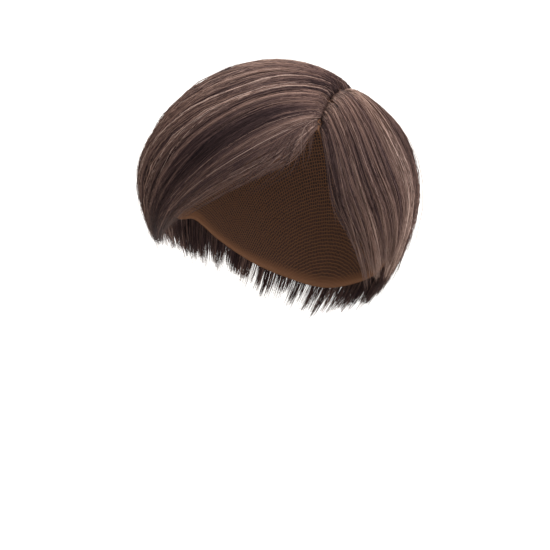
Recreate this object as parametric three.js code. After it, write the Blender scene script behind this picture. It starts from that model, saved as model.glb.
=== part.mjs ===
// A short wig with a low side parting: a thin net cap carries five combed sections of hair.
// Millimetres, +Z up. The wearer faces -Y, and +X is the wearer's left.
// The origin is the inside of the cap at the crown, where it bears on the top of the head.

import * as THREE from "three";
import { mergeVertices } from "three/addons/utils/BufferGeometryUtils.js";

// Head form that the cap is made to
const headHalfWidth = 75;
const headHalfLength = 96;
const headCrown = 97; // height of the crown over the head's widest level
const headNape = 112; // the same half height below that level, where the head narrows to the nape
const headSquareness = 2.1; // 2 is an ellipsoid, and more is boxier

// Cap
const capWall = 1.2;
const capSides = 48;
const capRings = 10;
const capRimStep = 20; // degrees of azimuth between the rows of the rim's table

// Parting and crown whorl, seen from above
const partFront = new THREE.Vector2(47, -46);
const partBack = new THREE.Vector2(36, 46);
const partHalfGap = 0.6;
const whorlRadius = 4;
const whorlFlare = 8; // power of the parting's opening into the whorl: more keeps it narrow for longer

// Hair
const hairUnderside = 2.6; // height of the hair's inner face over the head, just clear of the cap
const rootHeightFront = 3.8; // height of the hair's outer face over the head at the parting's front
const rootHeightCrown = 6; // the same at the crown
const leastThickness = 1;
const sectionGap = 0.8;
const widestHalfGap = 0.2; // share of the spacing between guide lines, where they crowd at the roots
const lockColumns = 4;
const lockRows = 13;
const lockSwing = 2.4; // radians by which the uneven length of a lock moves on from its neighbour's

// The cap's rim: how far down from the crown it reaches, in degrees, at each azimuth.
// Azimuth is 0 at the forehead and turns towards the wearer's left.
const capRim = [
  { azimuth: 0, down: 54 },
  { azimuth: 20, down: 51 },
  { azimuth: 40, down: 41 },
  { azimuth: 60, down: 84 },
  { azimuth: 80, down: 97 },
  { azimuth: 100, down: 100 },
  { azimuth: 120, down: 112 },
  { azimuth: 140, down: 122 },
  { azimuth: 160, down: 128 },
  { azimuth: 180, down: 131 },
  { azimuth: 200, down: 128 },
  { azimuth: 220, down: 122 },
  { azimuth: 240, down: 112 },
  { azimuth: 260, down: 100 },
  { azimuth: 280, down: 97 },
  { azimuth: 300, down: 86 },
  { azimuth: 320, down: 62 },
  { azimuth: 340, down: 56 },
];

// Combed guide lines, from the fringe's edge round the back of the head to the left temple.
// root is a place on the root line. Each line then passes two stations, A and B, to its tip:
// az is the azimuth, down the angle from the crown, and up the hair's height over the head.
const guides = [
  { root: 0, azA: 27, downA: 63, upA: 5.5, azB: 0, downB: 76, upB: 9, azTip: -47, downTip: 101, upTip: 5 },
  { root: 0.05, azA: 14.5, downA: 56, upA: 11.5, azB: -13, downB: 76, upB: 16, azTip: -47, downTip: 103, upTip: 7 },
  { root: 0.15, azA: 8, downA: 50.5, upA: 14.5, azB: -21, downB: 74, upB: 20, azTip: -50, downTip: 104, upTip: 9 },
  { root: 0.28, azA: 3, downA: 43, upA: 14, azB: -33, downB: 70, upB: 22.5, azTip: -56, downTip: 105, upTip: 10 },
  { root: 0.48, azA: -6, downA: 35, upA: 13, azB: -48, downB: 70, upB: 25, azTip: -63, downTip: 107, upTip: 10 },
  { root: 0.66, azA: -68, downA: 18, upA: 10.5, azB: -69, downB: 67, upB: 20.5, azTip: -74, downTip: 110, upTip: 8 },
  { root: 0.82, azA: -120, downA: 18, upA: 10, azB: -95, downB: 66, upB: 18, azTip: -92, downTip: 114, upTip: 7 },
  { root: 0.94, azA: -155, downA: 44, upA: 11.5, azB: -124, downB: 78, upB: 18, azTip: -112, downTip: 119, upTip: 7 },
  { root: 1.15, azA: -173, downA: 60, upA: 15, azB: -149, downB: 92, upB: 19, azTip: -135, downTip: 127, upTip: 6 },
  { root: 1.35, azA: 174, downA: 64, upA: 16, azB: -168, downB: 99, upB: 18, azTip: -158, downTip: 134, upTip: 5 },
  { root: 1.55, azA: 163, downA: 65, upA: 17, azB: 173, downB: 101, upB: 18, azTip: -180, downTip: 137, upTip: 5 },
  { root: 1.75, azA: 148, downA: 65, upA: 18, azB: 152, downB: 99, upB: 18, azTip: 157, downTip: 134, upTip: 6 },
  { root: 1.95, azA: 131, downA: 64, upA: 18, azB: 131, downB: 95, upB: 16.5, azTip: 136, downTip: 129, upTip: 6 },
  { root: 2.12, azA: 113, downA: 58, upA: 18, azB: 114, downB: 86, upB: 19.5, azTip: 120, downTip: 124, upTip: 5 },
  { root: 2.3, azA: 94, downA: 57, upA: 16, azB: 99, downB: 84, upB: 18.5, azTip: 108, downTip: 117, upTip: 6 },
  { root: 2.5, azA: 78, downA: 62, upA: 13, azB: 86, downB: 88, upB: 16.5, azTip: 98, downTip: 111, upTip: 8 },
  { root: 2.72, azA: 64, downA: 68, upA: 11, azB: 75, downB: 92, upB: 12, azTip: 91, downTip: 113, upTip: 7 },
  { root: 2.9, azA: 54, downA: 74, upA: 9, azB: 66, downB: 98, upB: 9.5, azTip: 85, downTip: 123, upTip: 5 },
  { root: 3, azA: 48, downA: 78, upA: 6, azB: 58, downB: 98, upB: 6.5, azTip: 80, downTip: 128, upTip: 4 },
];

// Sections of hair between two guide lines. A lock's crest stands relief over its grooves,
// notch is the share of its length by which it outreaches them, and uneven varies its length.
const sections = [
  { name: "fringe", from: 0, to: 3, locks: 7, relief: 2.2, notch: 0.08, uneven: 0.03, color: 0x3b2c29 },
  { name: "top_sweep", from: 3, to: 5.5, locks: 8, relief: 2.2, notch: 0.08, uneven: 0.03, color: 0x4d3a35 },
  { name: "right_side", from: 5.5, to: 8, locks: 8, relief: 2.4, notch: 0.1, uneven: 0.05, color: 0x45342f },
  { name: "back", from: 8, to: 12.5, locks: 9, relief: 2.6, notch: 0.1, uneven: 0.06, color: 0x47362f },
  { name: "left_side", from: 12.5, to: 18, locks: 11, relief: 2.6, notch: 0.24, uneven: 0.1, color: 0x4a3833 },
];

// Unit vector at an azimuth from the front and an angle down from the crown, in degrees
function direction(azimuth, down) {
  const turn = THREE.MathUtils.degToRad(azimuth);
  const fall = THREE.MathUtils.degToRad(down);
  return new THREE.Vector3(Math.sin(fall) * Math.sin(turn), -Math.sin(fall) * Math.cos(turn), Math.cos(fall));
}

// Point at a height over the head form, along a unit vector from the middle of the head
function overHead(along, height) {
  const halfHeight = along.z >= 0 ? headCrown : headNape;
  const share =
    Math.abs(along.x / headHalfWidth) ** headSquareness +
    Math.abs(along.y / headHalfLength) ** headSquareness +
    Math.abs(along.z / halfHeight) ** headSquareness;
  const reach = share ** (-1 / headSquareness) + height;
  return new THREE.Vector3(along.x * reach, along.y * reach, along.z * reach - headCrown);
}

// Unit vector to the point of the head form that lies under a place seen from above
function underPlan(plan) {
  const share =
    1 - Math.abs(plan.x / headHalfWidth) ** headSquareness - Math.abs(plan.y / headHalfLength) ** headSquareness;
  return new THREE.Vector3(plan.x, plan.y, headCrown * share ** (1 / headSquareness)).normalize();
}

// Smooth curve through four numbers, between the middle two
function smooth(before, start, end, after, t) {
  const leave = (end - before) / 2;
  const arrive = (after - start) / 2;
  const bend = 3 * (end - start) - 2 * leave - arrive;
  const twist = 2 * (start - end) + leave + arrive;
  return start + t * (leave + t * (bend + t * twist));
}

// Smooth curve through a list of rows of numbers, at a place from 0 to the last row's index
function smoothThrough(rows, place) {
  const last = rows.length - 1;
  const i = Math.min(Math.floor(place), last - 1);
  const column = (k) => {
    const start = rows[i][k];
    const end = rows[i + 1][k];
    const before = i > 0 ? rows[i - 1][k] : 2 * start - end;
    const after = i + 2 <= last ? rows[i + 2][k] : 2 * end - start;
    return smooth(before, start, end, after, place - i);
  };
  return rows[i].map((value, k) => column(k));
}

// Root line, seen from above: back along the right edge of the parting from 0 to 1, round the
// whorl from 1 to 2, and forward along the left edge from 2 to 3
function rootPlan(place) {
  const backward = partBack.clone().sub(partFront).normalize();
  const rightward = new THREE.Vector2(-backward.y, backward.x);
  if (place > 1 && place < 2) {
    const turn = (place - 1) * Math.PI;
    return partBack
      .clone()
      .addScaledVector(rightward, whorlRadius * Math.cos(turn))
      .addScaledVector(backward, whorlRadius * Math.sin(turn));
  }
  const along = place <= 1 ? place : 3 - place;
  const side = place <= 1 ? 1 : -1;
  const halfGap = THREE.MathUtils.lerp(partHalfGap, whorlRadius, along ** whorlFlare);
  return partFront.clone().lerp(partBack, along).addScaledVector(rightward, side * halfGap);
}

// Height of the hair's outer face at a place on the root line
function rootHeight(place) {
  return THREE.MathUtils.lerp(rootHeightFront, rootHeightCrown, Math.min(place, 3 - place, 1));
}

// Each guide line as four stations of direction and height, from its root to its tip
const guideStations = guides.map((g) => [
  [...underPlan(rootPlan(g.root)).toArray(), rootHeight(g.root)],
  [...direction(g.azA, g.downA).toArray(), g.upA],
  [...direction(g.azB, g.downB).toArray(), g.upB],
  [...direction(g.azTip, g.downTip).toArray(), g.upTip],
]);

// Point of the hair: across counts guide lines, along runs from root to tip, and depth from the
// underside at 0 to the outer face at 1. The outer face is sunk by groove.
function combed(across, along, depth, groove) {
  const stations = [0, 1, 2, 3].map((k) => smoothThrough(guideStations.map((line) => line[k]), across));
  const [x, y, z, height] = smoothThrough(stations, 3 * along);
  const outer = Math.max(height - groove, hairUnderside + leastThickness);
  return overHead(new THREE.Vector3(x, y, z).normalize(), THREE.MathUtils.lerp(hairUnderside, outer, depth));
}

// Half of the gap between sections, counted in guide lines, where a line stands at that place
function halfGapAt(across, along) {
  const step = 0.02;
  const low = Math.max(across - step, 0);
  const high = Math.min(across + step, guides.length - 1);
  const width = combed(low, along, 0, 0).distanceTo(combed(high, along, 0, 0)) / (high - low);
  return Math.min(sectionGap / 2 / width, widestHalfGap);
}

// Vertices merged to a closed surface, moved by a function of their place, with fresh normals
function reshaped(geometry, place) {
  geometry.deleteAttribute("normal");
  geometry.deleteAttribute("uv");
  const closed = mergeVertices(geometry, 1e-4);
  const position = closed.getAttribute("position");
  const point = new THREE.Vector3();
  for (let i = 0; i < position.count; i++) {
    point.fromBufferAttribute(position, i);
    const moved = place(point);
    position.setXYZ(i, moved.x, moved.y, moved.z);
  }
  closed.computeVertexNormals();
  return closed;
}

// The cap is a flat disc of two layers, bent down over the head form as far as the rim
function capGeometry() {
  const profile = [];
  for (let ring = 0; ring <= capRings; ring++) profile.push(new THREE.Vector2(ring / capRings, 0));
  for (let ring = capRings; ring >= 0; ring--) profile.push(new THREE.Vector2(ring / capRings, 1));
  const rows = [capRim[capRim.length - 1], ...capRim, capRim[0], capRim[1]].map((row) => [row.down]);
  return reshaped(new THREE.LatheGeometry(profile, capSides), (p) => {
    const turn = (THREE.MathUtils.radToDeg(Math.atan2(p.x, p.z)) + 360) % 360;
    const [rim] = smoothThrough(rows, 1 + turn / capRimStep);
    return overHead(direction(turn, Math.hypot(p.x, p.z) * rim), p.y * capWall);
  });
}

// A section is a box of locks, laid along the guide lines: x runs across, y from root to tip
// and z from the underside to the outer face
function sectionGeometry({ from, to, locks, relief, notch, uneven }) {
  const box = new THREE.BoxGeometry(1, 1, 1, locks * lockColumns, lockRows, 1);
  return reshaped(box, (p) => {
    const place = (p.x + 0.5) * locks;
    const lock = Math.min(Math.floor(place), locks - 1);
    const offCrest = (2 * (place - lock) - 1) ** 2;
    const shorter = (uneven * (1 - offCrest) * (1 + Math.sin(lockSwing * lock + from))) / 2;
    const along = (p.y + 0.5) * (1 - notch * offCrest - shorter);
    const low = from > 0 ? from + halfGapAt(from, along) : from;
    const high = to < guides.length - 1 ? to - halfGapAt(to, along) : to;
    const groove = relief * offCrest * Math.sin(Math.PI * along) ** 0.5;
    return combed(THREE.MathUtils.lerp(low, high, place / locks), along, p.z + 0.5, groove);
  });
}

const wig = new THREE.Group();

const cap = new THREE.Mesh(
  capGeometry(),
  new THREE.MeshStandardMaterial({ color: 0x7a4f30, roughness: 0.85, metalness: 0 }),
);
cap.name = "cap";
wig.add(cap);

for (const section of sections) {
  const hair = new THREE.Mesh(
    sectionGeometry(section),
    new THREE.MeshStandardMaterial({ color: section.color, roughness: 0.45, metalness: 0 }),
  );
  hair.name = section.name;
  wig.add(hair);
}

export default wig;
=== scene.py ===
import math
from types import SimpleNamespace
import bmesh
import bpy
import numpy as np
from mathutils import Matrix, Vector


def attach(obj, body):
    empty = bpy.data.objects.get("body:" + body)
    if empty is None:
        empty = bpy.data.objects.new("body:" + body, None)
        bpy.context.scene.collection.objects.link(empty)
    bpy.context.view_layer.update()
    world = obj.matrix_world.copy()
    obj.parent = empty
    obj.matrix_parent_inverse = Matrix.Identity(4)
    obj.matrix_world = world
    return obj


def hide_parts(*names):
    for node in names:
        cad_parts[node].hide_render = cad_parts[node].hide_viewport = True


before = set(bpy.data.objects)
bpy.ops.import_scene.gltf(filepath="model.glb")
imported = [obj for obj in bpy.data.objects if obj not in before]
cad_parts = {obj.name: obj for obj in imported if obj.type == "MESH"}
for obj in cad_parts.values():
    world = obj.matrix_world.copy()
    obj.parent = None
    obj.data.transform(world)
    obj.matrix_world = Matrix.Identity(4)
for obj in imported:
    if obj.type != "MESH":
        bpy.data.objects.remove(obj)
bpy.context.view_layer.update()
dice = np.random.default_rng(7)
mm = 0.001
print("frame", len(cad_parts), "nodes")

# head form that the cap and the combed lines follow, in mm: -Y is the way the wearer faces
headForm = {"halfWidth": 75, "halfLength": 96, "crown": 97, "nape": 112, "squareness": 2.1}

# the low parting on the wearer's left and the whorl at its back end, seen from above
parting = {
    "front": (47, -46),
    "back": (36, 46),
    "halfGap": 0.2,
    "whorl": 1.2,
    "flare": 8,  # how late the gap widens to the whorl
    "heightFront": 3.8,
    "heightCrown": 6,
    "bareSpots": [(-0.01, 0.06), (0.26, 0.3), (0.56, 0.66)],  # shares of its length where the net shows
}

# combed lines from the fringe's edge round the back to the left temple: place on the root line,
# then azimuth, degrees down from the crown and height over the head at two bends and the tip
combedLines = [
    (0, (27, 63, 5.5), (0, 76, 9), (-47, 101, 5)),
    (0.05, (14.5, 56, 11.5), (-13, 76, 16), (-47, 103, 7)),
    (0.15, (8, 50.5, 14.5), (-21, 74, 20), (-50, 104, 9)),
    (0.28, (3, 43, 14), (-33, 70, 22.5), (-56, 105, 10)),
    (0.48, (-6, 35, 13), (-48, 70, 25), (-63, 107, 10)),
    (0.66, (-68, 18, 10.5), (-69, 67, 20.5), (-74, 110, 8)),
    (0.82, (-120, 18, 10), (-95, 66, 18), (-92, 114, 7)),
    (0.94, (-155, 44, 11.5), (-124, 78, 18), (-112, 119, 7)),
    (1.15, (-173, 60, 15), (-149, 92, 19), (-135, 127, 6)),
    (1.35, (174, 64, 16), (-168, 99, 18), (-158, 134, 5)),
    (1.55, (163, 65, 17), (173, 101, 18), (-180, 137, 5)),
    (1.75, (148, 65, 18), (152, 99, 18), (157, 134, 6)),
    (1.95, (131, 64, 18), (131, 95, 16.5), (136, 129, 6)),
    (2.12, (113, 58, 18), (114, 86, 19.5), (120, 124, 5)),
    (2.3, (94, 57, 16), (99, 84, 18.5), (108, 117, 6)),
    (2.5, (78, 62, 13), (86, 88, 16.5), (98, 111, 8)),
    (2.72, (64, 68, 11), (75, 92, 12), (91, 113, 7)),
    (2.9, (54, 74, 9), (66, 98, 9.5), (85, 123, 5)),
    (3, (48, 78, 6), (58, 98, 6.5), (80, 128, 4)),
]
lastLine = len(combedLines) - 1


def smoothStep(low, high, x):
    t = np.clip((x - low) / (high - low), 0, 1)
    return t * t * (3 - 2 * t)


def unit(v):
    return v / np.linalg.norm(v, axis=-1, keepdims=True)


def direction(azimuth, down):
    turn = np.radians(azimuth)
    fall = np.radians(down)
    return np.stack([np.sin(fall) * np.sin(turn), -np.sin(fall) * np.cos(turn), np.cos(fall)], axis=-1)


def overHead(along, height):  # point at a height over the head form, in mm
    halfHeight = np.where(along[..., 2] >= 0, headForm["crown"], headForm["nape"])
    power = headForm["squareness"]
    share = np.abs(along[..., 0] / headForm["halfWidth"]) ** power
    share = share + np.abs(along[..., 1] / headForm["halfLength"]) ** power
    share = share + np.abs(along[..., 2] / halfHeight) ** power
    point = along * (share ** (-1 / power) + height)[..., None]
    point[..., 2] -= headForm["crown"]
    return point


def smoothCurve(before, start, end, after, t):
    leave = (end - before) / 2
    arrive = (after - start) / 2
    bend = 3 * (end - start) - 2 * leave - arrive
    twist = 2 * (start - end) + leave + arrive
    return start + t * (leave + t * (bend + t * twist))


def smoothThrough(rows, place):  # smooth curve through rows, at places counted in rows
    padded = np.concatenate([[2 * rows[0] - rows[1]], rows, [2 * rows[-1] - rows[-2]]])
    i = np.clip(np.floor(place).astype(int), 0, len(rows) - 2)
    t = (place - i).reshape(-1, *[1] * (rows.ndim - 1))
    return smoothCurve(padded[i], padded[i + 1], padded[i + 2], padded[i + 3], t)


def alongLine(stations, share):  # the same down each line's own stations, at a share of its length
    before = 2 * stations[:, :1] - stations[:, 1:2]
    after = 2 * stations[:, -1:] - stations[:, -2:-1]
    padded = np.concatenate([before, stations, after], axis=1)
    spans = stations.shape[1] - 1
    i = np.clip(np.floor(spans * share).astype(int), 0, spans - 1)
    row = np.arange(len(i))
    t = (spans * share - i)[:, None]
    return smoothCurve(padded[row, i], padded[row, i + 1], padded[row, i + 2], padded[row, i + 3], t)


def rootDirection(place):  # place on the root line: right edge 0 to 1, whorl 1 to 2, left edge 2 to 3
    front = Vector(parting["front"])
    back = Vector(parting["back"])
    backward = (back - front).normalized()
    rightward = Vector((-backward.y, backward.x))
    if 1 < place < 2:
        turn = (place - 1) * math.pi
        plan = back + parting["whorl"] * (rightward * math.cos(turn) + backward * math.sin(turn))
    else:
        along = place if place <= 1 else 3 - place
        side = 1 if place <= 1 else -1
        gap = parting["halfGap"] + (parting["whorl"] - parting["halfGap"]) * along ** parting["flare"]
        plan = front.lerp(back, along) + rightward * side * gap
    power = headForm["squareness"]
    share = 1 - abs(plan.x / headForm["halfWidth"]) ** power - abs(plan.y / headForm["halfLength"]) ** power
    return Vector((plan.x, plan.y, headForm["crown"] * share ** (1 / power))).normalized()


def partingShare(place):  # how far back along the parting a place on the root line is
    return np.minimum(np.minimum(place, 3 - place), 1)


def rootHeight(place):
    return parting["heightFront"] + (parting["heightCrown"] - parting["heightFront"]) * partingShare(place)


def stationsOf(root, *bends):  # unit vector from mid-head and height, at the root and at each bend
    stations = [[*rootDirection(root), rootHeight(root)]]
    for azimuth, down, height in bends:
        stations.append([*direction(azimuth, down), height])
    return stations


lineStations = np.array([stationsOf(*line) for line in combedLines])


def combed(across, along):  # unit vector from mid-head and the hair's height there
    shape = across.shape
    found = alongLine(smoothThrough(lineStations, across.ravel()), along.ravel())
    return unit(found[:, :3]).reshape(*shape, 3), found[:, 3].reshape(shape)


# Materials

def linear(code):  # sRGB hex to the linear colour that sockets take
    parts = [int(code[i:i + 2], 16) / 255 for i in (1, 3, 5)]
    return tuple(p / 12.92 if p <= 0.04045 else ((p + 0.055) / 1.055) ** 2.4 for p in parts) + (1,)


def addNode(tree, kind, settings=None, **links):
    node = tree.nodes.new(kind)
    for key, value in (settings or {}).items():
        if key == "stops":  # places and colours along a ramp
            while len(node.color_ramp.elements) < len(value):
                node.color_ramp.elements.new(0.5)
            for element, (place, code) in zip(node.color_ramp.elements, value):
                element.position = place
                element.color = linear(code)
        elif key in node.inputs:
            node.inputs[key].default_value = value
        else:
            setattr(node, key, value)
    for key, source in links.items():
        tree.links.new(source, node.inputs[key.replace("_", " ")])
    return node


def newMaterial(name, settings):
    material = bpy.data.materials.new(name)
    material.use_nodes = True
    shader = material.node_tree.nodes["Principled BSDF"]
    for key, value in settings.items():
        shader.inputs[key].default_value = value
    return material


def addPiece(name, mesh, material, node):
    piece = bpy.data.objects.new(name, mesh)
    bpy.context.scene.collection.objects.link(piece)
    mesh.materials.append(material)
    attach(piece, "root")
    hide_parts(node)
    return piece


# Cap: half a sphere bent down over the head as far as the rim, then given its wall

capSpec = {
    "wall": 1.2,
    "sides": 144,
    "rings": 48,
    "hem": 5,  # degrees
    "hemFade": 0.01,  # share of the way down over which the hem begins
    # rim: degrees down from the crown, at even steps from the forehead round by the left
    "rim": [54, 51, 41, 84, 97, 100, 112, 122, 128, 131, 128, 122, 112, 100, 97, 86, 62, 56],
}

netSpec = {
    "holes": 2.6,  # mm
    "uneven": 0.35,
    "thread": (0.08, 0.2),  # where the thread ends and the hole begins, in hole widths from its edge
    "hemHoles": 0.2,  # how far the hem's holes still show
    "bump": 0.4,  # mm
}


def rimDown(azimuth):
    rim = np.array(capSpec["rim"], float)
    rows = np.concatenate([rim[-1:], rim, rim[:2]])[:, None]
    place = 1 + np.ravel(azimuth) % 360 / (360 / len(rim))
    return smoothThrough(rows, place)[:, 0].reshape(np.shape(azimuth))


# knotted net: amber-brown thread with dark hair showing in its holes, and a closer weave along the
# hem. Real holes are under a millimetre, and they are drawn coarser so that the net shows.
def netMaterial():
    material = newMaterial("knottedNet", {"Roughness": 0.8, "IOR": 1.5, "Specular IOR Level": 0.3})
    tree = material.node_tree
    shader = tree.nodes["Principled BSDF"]
    onCap = addNode(tree, "ShaderNodeUVMap", {"uv_map": "net"})
    pattern = {
        "voronoi_dimensions": "2D",
        "feature": "DISTANCE_TO_EDGE",
        "Scale": 1 / netSpec["holes"],
        "Randomness": netSpec["uneven"],
    }
    cells = addNode(tree, "ShaderNodeTexVoronoi", pattern, Vector=onCap.outputs["UV"])
    threadEdge = {"From Min": netSpec["thread"][0], "From Max": netSpec["thread"][1]}
    hole = addNode(tree, "ShaderNodeMapRange", threadEdge, Value=cells.outputs["Distance"])
    hem = addNode(tree, "ShaderNodeAttribute", {"attribute_name": "hem"})
    closer = {"To Min": 1, "To Max": netSpec["hemHoles"]}
    weave = addNode(tree, "ShaderNodeMapRange", closer, Value=hem.outputs["Fac"])
    gaps = addNode(tree, "ShaderNodeMath", {"operation": "MULTIPLY"})
    tree.links.new(hole.outputs["Result"], gaps.inputs[0])
    tree.links.new(weave.outputs["Result"], gaps.inputs[1])
    threadToHole = [(0, "#6f4a30"), (1, "#2e1f1a")]
    colours = addNode(tree, "ShaderNodeValToRGB", {"stops": threadToHole}, Fac=gaps.outputs["Value"])
    raised = {"Strength": 0.6, "Distance": netSpec["bump"] * mm, "invert": True}
    bump = addNode(tree, "ShaderNodeBump", raised, Height=gaps.outputs["Value"])
    tree.links.new(colours.outputs["Color"], shader.inputs["Base Color"])
    tree.links.new(bump.outputs["Normal"], shader.inputs["Normal"])
    return material


def makeCap():
    bm = bmesh.new()
    bmesh.ops.create_uvsphere(bm, u_segments=capSpec["sides"], v_segments=2 * capSpec["rings"], radius=1)
    bmesh.ops.bisect_plane(bm, geom=[*bm.verts, *bm.edges, *bm.faces], dist=1e-5, plane_co=(0, 0, 0),
                           plane_no=(0, 0, -1), clear_outer=True)
    hem = bm.verts.layers.float.new("hem")
    flat = {}  # where each vertex lies on the net laid flat, in mm
    for vert in bm.verts:
        azimuth = math.degrees(math.atan2(vert.co.x, -vert.co.y))
        share = math.acos(min(1, vert.co.z)) / (math.pi / 2)
        rim = float(rimDown(np.array([azimuth]))[0])
        hemStart = 1 - capSpec["hem"] / rim
        vert[hem] = float(smoothStep(hemStart, hemStart + capSpec["hemFade"], share))
        toward = direction(np.array([azimuth]), np.array([share * rim]))
        vert.co = Vector(overHead(toward, np.zeros(1))[0] * mm)
        fromCrown = math.radians(share * rim) * headForm["crown"]
        turn = math.radians(azimuth)
        flat[vert] = (fromCrown * math.sin(turn), fromCrown * math.cos(turn))
    net = bm.loops.layers.uv.new("net")
    for face in bm.faces:
        for loop in face.loops:
            loop[net].uv = flat[loop.vert]
    bmesh.ops.recalc_face_normals(bm, faces=bm.faces)
    bmesh.ops.solidify(bm, geom=bm.faces[:], thickness=-capSpec["wall"] * mm)
    for face in bm.faces:
        face.smooth = True
    mesh = bpy.data.meshes.new("capNet")
    bm.to_mesh(mesh)
    bm.free()
    return addPiece("cap_net", mesh, netMaterial(), "cap")


cap = makeCap()
print("cap", [round(side / mm, 1) for side in cap.dimensions], "mm")


# Hair: strands combed along the lines

# places across are counted in lines, places along and lengths are shares of a line, and heights and
# sizes are in mm. Strands are drawn about five times as thick as real ones.
strandSpec = {
    "points": 12,
    "closeness": (1.15, 1.7),  # powers that draw the points to the root
    "sides": 3,
    "radius": 0.19,
    "thickness": (0.75, 1.2),
    "belowThickness": 1.6,  # strands rooted below the parting are thicker
    "taper": 0.8,
    "taperPower": 5,
}


# brown hair: a smooth cuticle over dark pigment, so each strand has a soft streak of shine
def hairMaterial():
    material = newMaterial("brownHair", {"IOR": 1.55, "Roughness": 0.45, "Specular IOR Level": 0.03})
    tree = material.node_tree
    # tone carries the hair's own tone together with the painted shade and sheen from toneStrands
    tone = addNode(tree, "ShaderNodeAttribute", {"attribute_name": "tone"})
    darkToPale = [(0, "#1c1415"), (0.35, "#433331"), (0.7, "#775e53"), (1, "#b59c8e")]
    ramp = addNode(tree, "ShaderNodeValToRGB", {"stops": darkToPale}, Fac=tone.outputs["Fac"])
    tree.links.new(ramp.outputs["Color"], tree.nodes["Principled BSDF"].inputs["Base Color"])
    return material


# low and high are the lines that bound a section. Strips end at reach or up to uneven short of it, and
# strands up to fray short of their strip. gather is how closely wisps draw together into strips, hang
# how many lines a strand may stray over the free edge, which is the low bound where it is negative, and
# relief the depth of the grooves between locks. crossing is the share of wisps that slant over others,
# and pale the share that are greyish, lie on top and are drawn paler as painted sheen. tone is the middle
# tone, and the other tones say how much paler the hair is just in from the free edge, at the roots and at
# the tips. Negative root and tip tones are painted shade at the roots by the parting and towards the tips.
# The left side's darker edge is painted shade, and its higher tone and paler roots and tips painted light.
sections = {
    "fringe": {
        "low": 0, "high": 3, "strands": 2600, "locks": 7, "strips": 20,
        "reach": 0.98, "uneven": 0.08, "fray": 0.12, "gather": 0.5, "hang": -1.3, "relief": 1.2,
        # painted shade: the fringe's darker roots and tips
        "crossing": 0.1, "pale": 0.02, "tone": 0.44, "edgeTone": 0.2, "rootTone": -0.1, "tipTone": -0.4,
    },
    "top_sweep": {
        "low": 3, "high": 5.5, "strands": 2900, "locks": 8, "strips": 22,
        "reach": 0.99, "uneven": 0.07, "fray": 0.12, "gather": 0.4, "hang": 0, "relief": 1.6,
        "crossing": 0.1, "pale": 0.02, "tone": 0.45, "edgeTone": 0, "rootTone": -0.24, "tipTone": -0.12,
    },
    "right_side": {
        "low": 5.5, "high": 8, "strands": 2900, "locks": 8, "strips": 24,
        "reach": 1.04, "uneven": 0.07, "fray": 0.1, "gather": 0.45, "hang": 0, "relief": 1.6,
        "crossing": 0.12, "pale": 0.006, "tone": 0.44, "edgeTone": 0, "rootTone": -0.18, "tipTone": -0.14,
    },
    "back": {
        "low": 8, "high": 12.5, "strands": 2900, "locks": 9, "strips": 30,
        "reach": 1.06, "uneven": 0.06, "fray": 0.08, "gather": 0.4, "hang": 0, "relief": 1.8,
        "crossing": 0.15, "pale": 0.006, "tone": 0.43, "edgeTone": 0, "rootTone": 0, "tipTone": -0.14,
    },
    "left_side": {
        "low": 12.5, "high": 18, "strands": 2900, "locks": 11, "strips": 34,
        "reach": 1.06, "uneven": 0.2, "fray": 0.14, "gather": 0.6, "hang": 0.6, "relief": 2,
        # painted light: this side's higher tone and paler roots and tips; painted shade: its darker edge
        "crossing": 0.2, "pale": 0.004, "tone": 0.48, "edgeTone": -0.08, "rootTone": 0.1, "tipTone": 0.22,
    },
}

rootSpec = {
    "overlap": 0.12,  # how far roots may lie past a section's bounds
    "samples": 200,  # places across where the width is measured
    "evenAt": 0.6,  # place along where the strands lie evenly side by side
    "tries": 6,  # roots tried for each strand, since the rim leaves many out
    "atParting": 0.45,  # share rooted at the parting, and how they scatter along their lines
    "scatter": (0.002, 0.006),
    "bareDepth": 0.035,  # how far roots draw back from the bare spots
    "barePower": 0.3,  # under 1, so most draw back fully
    "below": (0.02, 0.88),  # where the rest begin, and over how much of a line
    "belowPower": 1.1,
    "rimMargin": 1,  # degrees
}


def rootsOnCap(spec):  # places across and along where the cap carries a root, and which are at the parting
    low = max(spec["low"] - rootSpec["overlap"], 0)
    high = min(spec["high"] + rootSpec["overlap"], lastLine)
    grid = np.linspace(low, high, rootSpec["samples"])
    middle = overHead(combed(grid, np.full(len(grid), rootSpec["evenAt"]))[0], np.zeros(len(grid)))
    width = np.linalg.norm(np.gradient(middle, axis=0), axis=1)
    count = rootSpec["tries"] * spec["strands"]
    across = np.interp(dice.random(count), np.cumsum(width) / width.sum(), grid)
    atParting = dice.random(count) < rootSpec["atParting"]
    rootPlaces = [line[0] for line in combedLines]
    share = partingShare(np.interp(across, np.arange(lastLine + 1), rootPlaces))
    bare = sum((share > start) & (share < end) for start, end in parting["bareSpots"])
    atTop = dice.normal(*rootSpec["scatter"], count)
    atTop = atTop + rootSpec["bareDepth"] * bare * dice.random(count) ** rootSpec["barePower"]
    first, extent = rootSpec["below"]
    below = first + extent * dice.random(count) ** rootSpec["belowPower"]
    along = np.where(atParting, atTop, below)
    found = combed(across, along)[0]
    down = np.degrees(np.arccos(found[:, 2]))
    azimuth = np.degrees(np.arctan2(found[:, 0], -found[:, 1]))
    carried = np.flatnonzero(down < rimDown(azimuth) - rootSpec["rimMargin"])[:spec["strands"]]
    return across[carried], along[carried], atParting[carried]


# painted sheen: the crest of the sweep carries more pale wisps than the rest, as a highlight along it
crestSheen = {"line": 3.4, "halfWidth": 0.5, "pale": 0.13}
wispsPerStrip = 7


def nearest(centres, places):  # number of the centre that lies nearest to each place
    return np.abs(centres[None, :] - places[:, None]).argmin(axis=1)


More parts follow.
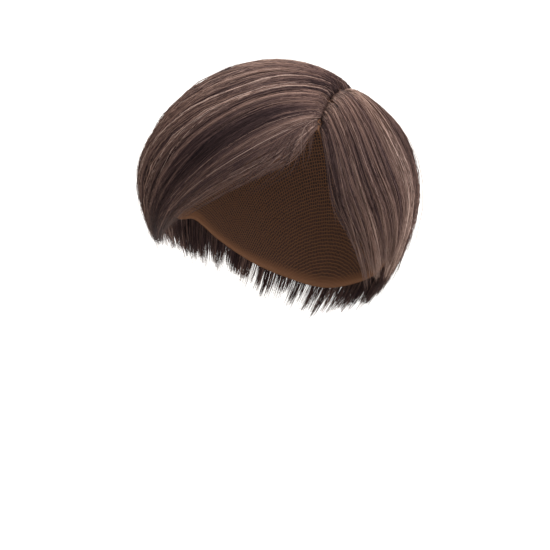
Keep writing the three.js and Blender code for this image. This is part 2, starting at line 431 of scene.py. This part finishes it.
def gatherWisps(spec, hair):  # strands gather into fine wisps, and the wisps into the strips of each lock
    stripCount = spec["strips"]
    hair.stripAt = np.sort(dice.uniform(spec["low"], spec["high"], stripCount))
    hair.wispAt = np.sort(dice.uniform(spec["low"], spec["high"], wispsPerStrip * stripCount))
    hair.wispCount = len(hair.wispAt)
    hair.wisp = nearest(hair.wispAt, hair.root)
    hair.strip = nearest(hair.stripAt, hair.wispAt)[hair.wisp]
    hair.crossing = dice.random(hair.wispCount) < spec["crossing"]
    # painted sheen: greyish pale wisps, most of them on the crest
    onCrest = np.exp(-((hair.wispAt - crestSheen["line"]) / crestSheen["halfWidth"]) ** 2)
    hair.greyish = dice.random(hair.wispCount) < spec["pale"] + crestSheen["pale"] * onCrest


cutSpec = {
    "unevenPower": 0.7,  # under 1, so more strips end short than long
    "frayPower": 2,  # over 1, so most strands end near their strip's tip
    "wispUneven": 0.02,
    "shortShare": 0.2,  # strands cut short, and their lengths
    "short": (0.35, 0.7),
    "shortest": 0.08,
    "hangShare": 0.4,  # of the strands near the free edge
    "hangPower": 2,  # over 1, so most stray only a little
    "hangLength": (0.12, 1),  # shares of the strand's own length
    "ragged": 0.14,  # lines
}


def cutStrands(spec, hair):
    ends = spec["reach"] - spec["uneven"] * dice.random(spec["strips"]) ** cutSpec["unevenPower"]
    end = ends[hair.strip] - spec["fray"] * dice.random(hair.count) ** cutSpec["frayPower"]
    end = end + dice.normal(0, cutSpec["wispUneven"], hair.wispCount)[hair.wisp]
    hair.short = dice.random(hair.count) < cutSpec["shortShare"]
    shortEnd = hair.start + dice.uniform(*cutSpec["short"], hair.count)
    end = np.where(hair.short, np.minimum(end, shortEnd), end)

    # by the free edge strands are ragged, and some are shorter with tips that turn out over it
    edge = spec["low"] if spec["hang"] < 0 else spec["high"]
    hair.nearEdge = np.clip(1 - np.abs(hair.root - edge), 0, 1) * (spec["hang"] != 0)
    hangs = (hair.nearEdge > 0) & (dice.random(hair.count) < cutSpec["hangShare"])
    hair.hanging = spec["hang"] * hangs * dice.random(hair.count) ** cutSpec["hangPower"]
    hangEnd = hair.start + (end - hair.start) * dice.uniform(*cutSpec["hangLength"], hair.count)
    end = np.where(hair.hanging != 0, hangEnd, end)
    end = np.maximum(end, hair.start + cutSpec["shortest"])
    hair.ragged = hair.nearEdge * dice.normal(0, cutSpec["ragged"], hair.count)

    # points are closest at the root, where a strand bends most
    closeness = dice.uniform(*strandSpec["closeness"], (hair.count, 1))
    hair.steps = np.linspace(0, 1, strandSpec["points"]) ** closeness
    hair.along = hair.start[:, None] + (end - hair.start)[:, None] * hair.steps


# wisp, strip, drifting and raggedness are the places along where each begins and is complete
flowSpec = {
    "spread": 0.35,  # the hair beneath stays spread and backs the gaps
    "toWisp": 0.6,
    "wisp": (0.02, 0.5),
    "strip": (0.3, 1.0),
    "stripUneven": (0.5, 1.3),  # some strips gather less than others
    "drift": 0.07,
    "crossingDrift": 0.35,
    "strandDrift": 0.03,
    "drifting": (0.05, 0.9),
    "pastBound": 0.2,
    "hangPower": 1.5,
    "raggedness": (0.02, 0.35),
}

# the sweep curls over on its way down: its strands cross to lower lines, those midway to lastLine most
curl = {"lines": 0.7, "lastLine": 6, "start": 0.15, "end": 0.75}


def combAcross(spec, hair):
    held = np.where(hair.atParting, 1, flowSpec["spread"])[:, None]
    toWisp = smoothStep(*flowSpec["wisp"], hair.along) * flowSpec["toWisp"] * held
    toStrip = smoothStep(*flowSpec["strip"], hair.along) * spec["gather"] * held
    toStrip = toStrip * dice.uniform(*flowSpec["stripUneven"], spec["strips"])[hair.strip][:, None]
    drift = dice.normal(0, np.where(hair.crossing, flowSpec["crossingDrift"], flowSpec["drift"]))[hair.wisp]
    drift = drift + dice.normal(0, flowSpec["strandDrift"], hair.count)
    wispAt = hair.wispAt[hair.wisp]
    across = hair.root[:, None] + (wispAt - hair.root)[:, None] * toWisp
    across = across + (hair.stripAt[hair.strip] - wispAt)[:, None] * toStrip
    across = across + drift[:, None] * smoothStep(*flowSpec["drifting"], hair.along)
    lowest = spec["low"] - flowSpec["pastBound"] * (spec["low"] > 0)
    highest = spec["high"] + flowSpec["pastBound"] * (spec["high"] < lastLine)
    across = lowest + np.abs(across - lowest)  # what drifts over a bound is turned back inside it
    across = highest - np.abs(highest - across)
    crossed = curl["lines"] * np.sin(np.pi * np.clip(across / curl["lastLine"], 0, 1)) ** 2
    across = across - crossed * smoothStep(curl["start"], curl["end"], hair.along)
    across = across + hair.hanging[:, None] * hair.steps ** flowSpec["hangPower"]
    hair.across = across + hair.ragged[:, None] * smoothStep(*flowSpec["raggedness"], hair.along)


# most parting strands lie on top, and those rooted further down lie beneath them
layerSpec = {
    "topDepth": 0.4,  # depths down to lowest are shares of the hair's height
    "topPower": 2.5,  # over 1, so most lie near the top
    "belowDepth": 0.9,
    "uneven": 0.05,
    "lowest": 0.15,
    "topRise": 0.045,  # share of a line over which a strand rises from its root
    "belowRise": 0.15,
    "stripSunk": 0.7,
    "wispSunk": 0.5,
    "onTop": -0.6,  # crossing and greyish wisps stand over the others
    "sinking": (0.05, 0.4),  # places along where this begins and is complete
    "fullness": 0.6,  # makes up for what is sunk
    "rootDepth": 0.2,  # how far roots are sunk in the cap
    "strayShare": 0.035,
    "strayLift": 4,
    "strayPower": 1.5,
}


def layStrands(spec, hair):
    found, height = combed(hair.across, hair.along)
    onTop = 1 - layerSpec["topDepth"] * dice.random(hair.count) ** layerSpec["topPower"]
    layer = np.where(hair.atParting, onTop, 1 - layerSpec["belowDepth"] * hair.start)
    layer = layer - np.abs(dice.normal(0, layerSpec["uneven"], hair.count))
    layer = np.clip(layer, layerSpec["lowest"], 1)
    riseLength = np.where(hair.atParting, layerSpec["topRise"], layerSpec["belowRise"])[:, None]
    risen = np.clip((hair.along - hair.start[:, None]) / riseLength, 0, 1)
    hair.rise = 1 - (1 - risen) ** 2
    lock = (hair.across - spec["low"]) / (spec["high"] - spec["low"]) * spec["locks"]
    groove = spec["relief"] * (2 * (lock % 1) - 1) ** 2 * np.sin(np.pi * np.clip(hair.along, 0, 1))
    sunk = np.abs(dice.normal(0, layerSpec["stripSunk"], spec["strips"]))[hair.strip]
    sunk = sunk + np.abs(dice.normal(0, layerSpec["wispSunk"], hair.wispCount))[hair.wisp]
    sunk = np.where((hair.crossing | hair.greyish)[hair.wisp], layerSpec["onTop"], sunk)
    sunk = sunk[:, None] * smoothStep(*layerSpec["sinking"], hair.along) - layerSpec["fullness"]
    rootLift = capSpec["wall"] - layerSpec["rootDepth"]
    lift = rootLift + ((height - rootLift) * layer[:, None] - groove - sunk) * hair.rise
    hair.stray = np.where(dice.random(hair.count) < layerSpec["strayShare"], dice.random(hair.count), 0)
    lift = lift + (layerSpec["strayLift"] * hair.stray)[:, None] * hair.steps ** layerSpec["strayPower"]
    return overHead(found, np.maximum(lift, rootLift))


def strandTurns(path):  # unit vectors along a strand and sideways over the head
    tangent = unit(np.gradient(path, axis=1))
    outward = unit(path - np.array([0, 0, -headForm["crown"]]))
    return tangent, unit(np.cross(tangent, outward))


# sideways waves in mm, with their lengths as waves or half waves to a line
waveSpec = {
    "strip": (0.2, 1.1),
    "stripWaves": 0.9,
    "strand": 0.35,
    "edgeStrand": 0.6,
    "shortStrand": 0.7,
    "strandHalfWaves": 1.7,
    "stray": 6,
    "strayPower": 1.7,
}


def waveStrands(spec, hair, path):
    sideways = strandTurns(path)[1]
    phase = dice.random(spec["strips"])[hair.strip][:, None]
    wave = dice.uniform(*waveSpec["strip"], spec["strips"])[hair.strip][:, None]
    wave = wave * np.sin(2 * np.pi * (waveSpec["stripWaves"] * hair.along + phase)) * hair.rise
    ownSize = waveSpec["strand"] + waveSpec["edgeStrand"] * hair.nearEdge
    ownSize = ownSize + waveSpec["shortStrand"] * hair.short
    own = dice.normal(0, ownSize)[:, None] * hair.rise
    own = own * np.sin(np.pi * (waveSpec["strandHalfWaves"] * hair.along + dice.random((hair.count, 1))))
    loose = (hair.stray * dice.choice([-1, 1], hair.count) * waveSpec["stray"])[:, None]
    loose = loose * hair.steps ** waveSpec["strayPower"]
    return path + sideways * (wave + own + loose)[..., None]


# spreads of tone by strip, wisp, strand and lock, and what is added for some strands: the paler crossing,
# greyish and pale strands are partly paler hair and partly painted sheen
toneSpec = {
    "strip": 0.055,
    "wisp": 0.08,
    "strand": 0.09,
    "lock": 0.06,
    "crossing": 0.06,
    "greyish": 0.3,
    "paleShare": 0.03,
    "pale": 0.2,
    "hanging": -0.16,
    "tipPivot": 0.4,  # place along where tipTone adds nothing
    "rootEnd": 0.25,
}

# painted shade: the strands' tone is darkened in the hollow of the fringe under the crest of the sweep, where
# shade falls; in lines across and shares along
hollowShade = {"line": 1.7, "halfWidth": 0.65, "start": 0.05, "full": 0.25, "fade": 0.5, "end": 0.75, "depth": 0.3}


def toneStrands(spec, hair):
    tone = spec["tone"] + dice.normal(0, toneSpec["strip"], spec["strips"])[hair.strip]
    tone = tone + dice.normal(0, toneSpec["wisp"], hair.wispCount)[hair.wisp]
    tone = tone + dice.normal(0, toneSpec["strand"], hair.count)
    # painted sheen: crossing, greyish and a few pale strands are drawn paler, as glints on hair that lies on
    # top
    tone = tone + toneSpec["crossing"] * hair.crossing[hair.wisp]
    tone = tone + toneSpec["greyish"] * hair.greyish[hair.wisp]
    tone = tone + toneSpec["pale"] * (dice.random(hair.count) < toneSpec["paleShare"])
    tone = tone + toneSpec["hanging"] * (hair.hanging != 0)
    # paler just in from the fringe's free edge, and darker as painted shade by the left side's edge
    tone = tone + spec["edgeTone"] * 4 * hair.nearEdge * (1 - hair.nearEdge)  # most at half a line in
    lock = (hair.root - spec["low"]) / (spec["high"] - spec["low"]) * spec["locks"]
    lock = np.clip(lock, 0, spec["locks"] - 1).astype(int)
    tone = tone + dice.normal(0, toneSpec["lock"], spec["locks"])[lock]
    # painted shade towards the tips and at the roots where tipTone and rootTone are negative, painted light
    # on the left side where they are positive
    tone = tone[:, None] + spec["tipTone"] * (hair.along - toneSpec["tipPivot"])
    tone = tone + spec["rootTone"] * (1 - smoothStep(0, toneSpec["rootEnd"], hair.along))
    # painted shade: darker tone in the hollow under the crest
    shaded = np.exp(-((hair.across - hollowShade["line"]) / hollowShade["halfWidth"]) ** 2)
    shaded = shaded * smoothStep(hollowShade["start"], hollowShade["full"], hair.along)
    shaded = shaded * (1 - smoothStep(hollowShade["fade"], hollowShade["end"], hair.along))
    return np.clip(tone - hollowShade["depth"] * shaded, 0, 1)


def strandRadii(hair):
    radius = np.where(hair.atParting, 1, strandSpec["belowThickness"])
    radius = radius * dice.uniform(*strandSpec["thickness"], hair.count)
    taper = 1 - strandSpec["taper"] * hair.steps ** strandSpec["taperPower"]
    return strandSpec["radius"] * (radius[:, None] * taper)


def combStrands(spec):  # path, tone and radius of every strand at each of its points
    root, start, atParting = rootsOnCap(spec)
    hair = SimpleNamespace(root=root, start=start, atParting=atParting, count=len(root))
    gatherWisps(spec, hair)
    cutStrands(spec, hair)
    combAcross(spec, hair)
    path = layStrands(spec, hair)
    path = waveStrands(spec, hair, path)
    tone = toneStrands(spec, hair)
    return path, tone, strandRadii(hair)


# a patch of the map for each strand: across it round the strand, up it from root to tip
def strandMap(count):
    points = strandSpec["points"]
    sides = strandSpec["sides"]
    margin = 0.1
    inside = 1 - 2 * margin
    columns = math.ceil(math.sqrt(count))
    corner = np.stack([np.arange(count) % columns, np.arange(count) // columns], axis=-1)[:, None, None, None]
    k, j = np.meshgrid(np.arange(sides), np.arange(points - 1))
    patch = np.stack([
        np.stack([k, k, k + 1, k + 1], axis=-1) / sides * inside + margin,
        np.stack([j, j + 1, j + 1, j], axis=-1) / (points - 1) * inside + margin,
    ], axis=-1)
    quadMap = (corner + patch) / columns
    tip = np.array([[0.2, 0.92], [0.5, 0.98], [0.8, 0.92]])  # end faces lie in the patch's margins
    rootMap = (corner[:, 0, 0] + tip * [1, 0.08]) / columns
    tipMap = (corner[:, 0, 0] + tip) / columns
    return np.concatenate([quadMap.ravel(), rootMap.ravel(), tipMap.ravel()])


def strandMesh(name, path, tone, radius):  # one closed three-sided tube a strand, all in one mesh
    count, points = path.shape[:2]
    sides = strandSpec["sides"]
    tangent, sideways = strandTurns(path)
    outward = np.cross(sideways, tangent)
    turn = np.pi / 2 + np.arange(sides) * 2 * np.pi / sides
    ring = sideways[:, :, None] * np.cos(turn)[:, None] + outward[:, :, None] * np.sin(turn)[:, None]
    verts = path[:, :, None] + ring * radius[:, :, None, None]

    index = np.arange(count * points * sides).reshape(count, points, sides)
    around = np.roll(index, -1, axis=2)
    quads = np.stack([index[:, :-1], index[:, 1:], around[:, 1:], around[:, :-1]], axis=-1)
    ends = np.concatenate([index[:, 0], index[:, -1, ::-1]])
    loops = np.concatenate([quads.ravel(), ends.ravel()])
    quadStarts = np.arange(quads.size // 4) * 4
    starts = np.concatenate([quadStarts, quads.size + np.arange(len(ends)) * 3])

    mesh = bpy.data.meshes.new(name)
    mesh.vertices.add(verts.size // 3)
    mesh.vertices.foreach_set("co", (verts * mm).ravel().astype(np.float32))
    mesh.loops.add(len(loops))
    mesh.loops.foreach_set("vertex_index", loops.astype(np.int32))
    mesh.polygons.add(len(starts))
    mesh.polygons.foreach_set("loop_start", starts.astype(np.int32))
    mesh.polygons.foreach_set("use_smooth", np.ones(len(starts), bool))
    tones = mesh.attributes.new("tone", "FLOAT", "POINT")
    tones.data.foreach_set("value", np.repeat(tone.ravel(), sides).astype(np.float32))
    mesh.uv_layers.new(name="OFBake").data.foreach_set("uv", strandMap(count).astype(np.float32))
    mesh.update()
    mesh.validate()
    return mesh


brownHair = hairMaterial()
for node, spec in sections.items():
    path, tone, radius = combStrands(spec)
    mesh = strandMesh(node + "Strands", path, tone, radius)
    addPiece(node + "_hair", mesh, brownHair, node)
    print(node, len(path), "strands", sum(len(p.vertices) - 2 for p in mesh.polygons), "triangles")


# Camera at the photograph's angle: 24 degrees round to the left and 9 degrees up

cameraSpec = {
    "azimuth": 24,
    "elevation": 9,
    "distance": 1500,  # mm
    "pixelsPerMm": 1.41,
    "picture": 550,  # pixels
    "middle": (281.5, 209),  # pixel where the middle of the head form lies
    "sensor": 36,
}


def makeCamera():
    turn = math.radians(cameraSpec["azimuth"])
    rise = math.radians(cameraSpec["elevation"])
    backward = Vector((math.sin(turn) * math.cos(rise), -math.cos(turn) * math.cos(rise), math.sin(rise)))
    rightward = Vector((math.cos(turn), math.sin(turn), 0))
    upward = backward.cross(rightward)
    half = cameraSpec["picture"] / 2
    offset = [(pixel - half) / cameraSpec["pixelsPerMm"] for pixel in cameraSpec["middle"]]
    eye = Vector((0, 0, -headForm["crown"])) - rightward * offset[0] + upward * offset[1]
    eye = (eye + backward * cameraSpec["distance"]) * mm
    data = bpy.data.cameras.new("photoCamera")
    data.sensor_width = cameraSpec["sensor"]
    seen = cameraSpec["picture"] / cameraSpec["pixelsPerMm"]
    data.lens = cameraSpec["sensor"] * cameraSpec["distance"] / seen
    camera = bpy.data.objects.new("photoCamera", data)
    camera.matrix_world = Matrix((
        (rightward.x, upward.x, backward.x, eye.x),
        (rightward.y, upward.y, backward.y, eye.y),
        (rightward.z, upward.z, backward.z, eye.z),
        (0, 0, 0, 1),
    ))
    bpy.context.scene.collection.objects.link(camera)
    bpy.context.scene.camera = camera
    print("camera lens", round(data.lens, 1), "mm")


makeCamera()


# White studio: a pale floor well below the wig, soft light all round, a broad light from above and
# a softer one from the wearer's left front

studio = {
    "floor": -0.42,  # m
    "floorSize": 60,
    "around": 0.5,
    "lamps": {
        "overhead": {"from": (-0.4, 0.3, 1), "power": 7, "spread": 50, "colour": "#fffaf2"},
        "sideFill": {"from": (1, -0.4, 0.2), "power": 5, "spread": 90, "colour": "#f0f3ff"},
    },
}


def makeStudio():
    bm = bmesh.new()
    bmesh.ops.create_grid(bm, x_segments=1, y_segments=1, size=studio["floorSize"] / 2)
    bmesh.ops.translate(bm, verts=bm.verts, vec=(0, 0, studio["floor"]))
    mesh = bpy.data.meshes.new("floor")
    bm.to_mesh(mesh)
    bm.free()
    floor = bpy.data.objects.new("floor", mesh)
    bpy.context.scene.collection.objects.link(floor)
    mesh.materials.append(newMaterial("whiteFloor", {"Base Color": linear("#b0b0b0"), "Roughness": 0.9}))

    world = bpy.data.worlds.new("studio")
    world.use_nodes = True
    background = world.node_tree.nodes["Background"]
    background.inputs["Color"].default_value = (1, 1, 1, 1)
    background.inputs["Strength"].default_value = studio["around"]
    bpy.context.scene.world = world

    for name, spec in studio["lamps"].items():
        light = bpy.data.lights.new(name, "SUN")
        light.energy = spec["power"]
        light.color = linear(spec["colour"])[:3]
        light.angle = math.radians(spec["spread"])
        lamp = bpy.data.objects.new(name, light)
        lamp.rotation_euler = Vector(spec["from"]).to_track_quat("Z", "Y").to_euler()
        bpy.context.scene.collection.objects.link(lamp)
    bpy.context.scene.view_settings.view_transform = "Standard"
    print("studio", len(studio["lamps"]), "lamps")


makeStudio()
